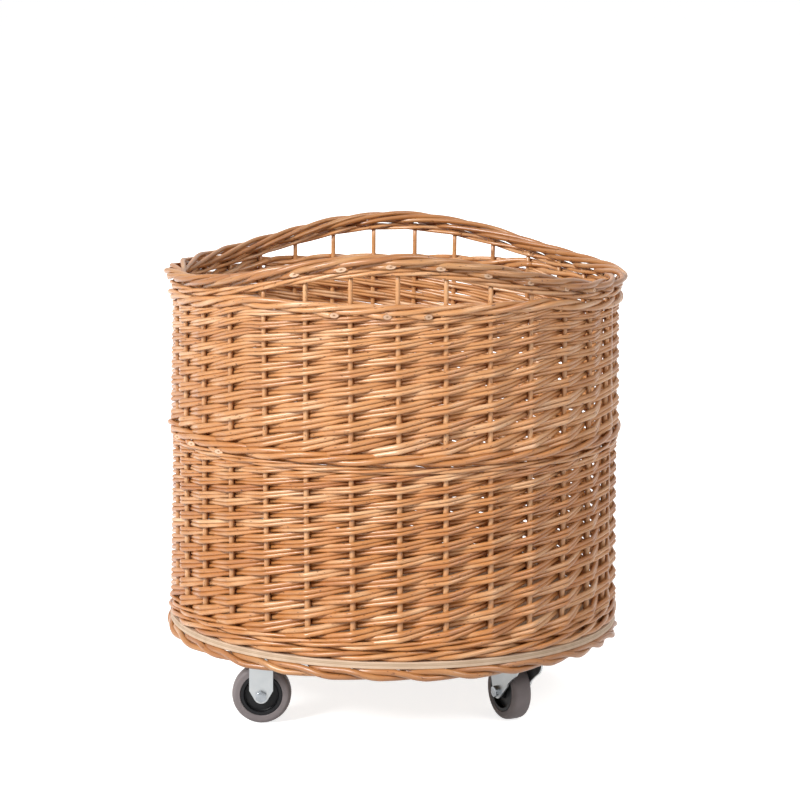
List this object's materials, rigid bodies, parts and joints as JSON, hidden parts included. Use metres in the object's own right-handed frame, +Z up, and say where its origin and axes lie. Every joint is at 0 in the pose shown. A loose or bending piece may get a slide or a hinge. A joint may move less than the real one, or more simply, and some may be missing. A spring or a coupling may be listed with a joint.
{
  "type": "wicker display basket on castors",
  "caption": "Round woven willow basket on a plywood board, with an arched rolled rim over hand holds and rigid and swivel castors, for showing and moving goods.",
  "frame": {"origin": "on the floor under the middle of the basket", "axes": "+Z up, -Y towards the front arch of the rim, the rigid castors on the -X side and the swivel castors on the +X side"},
  "size_m": [0.6022, 0.6018, 0.6081],
  "materials": {
    "willow": "satin",
    "stake_willow": "satin",
    "plywood": "matte",
    "zinc": "satin",
    "black_plastic": "satin",
    "grey_rubber": "matte"
  },
  "bodies": {
    "basket": {"base_board": "plywood", "foot_border": "willow", "upsett_wale": "willow", "lower_weave": "willow", "middle_wale": "willow", "upper_weave": "willow", "upper_wale": "willow", "rim_wale": "willow", "rim_border": "willow", "stake_01": "stake_willow", "stake_02": "stake_willow", "stake_03": "stake_willow", "stake_04": "stake_willow", "stake_05": "stake_willow", "stake_06": "stake_willow", "stake_07": "stake_willow", "stake_08": "stake_willow", "stake_09": "stake_willow", "stake_10": "stake_willow", "stake_11": "stake_willow", "stake_12": "stake_willow", "stake_13": "stake_willow", "stake_14": "stake_willow", "stake_15": "stake_willow", "stake_16": "stake_willow", "stake_17": "stake_willow", "stake_18": "stake_willow", "stake_19": "stake_willow", "stake_20": "stake_willow", "stake_21": "stake_willow", "stake_22": "stake_willow", "stake_23": "stake_willow", "stake_24": "stake_willow", "stake_25": "stake_willow", "stake_26": "stake_willow", "stake_27": "stake_willow", "stake_28": "stake_willow", "stake_29": "stake_willow", "stake_30": "stake_willow", "stake_31": "stake_willow", "front_left_fork": "zinc", "front_left_axle": "zinc", "rear_left_fork": "zinc", "rear_left_axle": "zinc", "front_right_top_plate": "zinc", "front_right_kingpin": "zinc", "rear_right_top_plate": "zinc", "rear_right_kingpin": "zinc"},
    "front_left_wheel": {"front_left_hub": "black_plastic", "front_left_tyre": "grey_rubber"},
    "rear_left_wheel": {"rear_left_hub": "black_plastic", "rear_left_tyre": "grey_rubber"},
    "front_right_swivel": {"front_right_fork": "zinc", "front_right_axle": "zinc"},
    "front_right_wheel": {"front_right_hub": "black_plastic", "front_right_tyre": "grey_rubber"},
    "rear_right_swivel": {"rear_right_fork": "zinc", "rear_right_axle": "zinc"},
    "rear_right_wheel": {"rear_right_hub": "black_plastic", "rear_right_tyre": "grey_rubber"}
  },
  "joints": [
    {"name": "front_left_roll", "type": "hinge", "parent": "basket", "child": "front_left_wheel", "pos_m": [-0.16413, -0.17786, 0.0375], "axis": [0, 1, 0], "continuous": true},
    {"name": "rear_left_roll", "type": "hinge", "parent": "basket", "child": "rear_left_wheel", "pos_m": [-0.16413, 0.17786, 0.0375], "axis": [0, 1, 0], "continuous": true},
    {"name": "front_right_turn", "type": "hinge", "parent": "basket", "child": "front_right_swivel", "pos_m": [0.16413, -0.17786, 0.09], "axis": [0, 0, 1], "continuous": true},
    {"name": "front_right_roll", "type": "hinge", "parent": "front_right_swivel", "child": "front_right_wheel", "pos_m": [0.15005, -0.15137, 0.0375], "axis": [0.8829, 0.4695, 0], "continuous": true},
    {"name": "rear_right_turn", "type": "hinge", "parent": "basket", "child": "rear_right_swivel", "pos_m": [0.16413, 0.17786, 0.09], "axis": [0, 0, 1], "continuous": true},
    {"name": "rear_right_roll", "type": "hinge", "parent": "rear_right_swivel", "child": "rear_right_wheel", "pos_m": [0.15005, 0.20435, 0.0375], "axis": [0.8829, 0.4695, 0], "continuous": true}
  ]
}
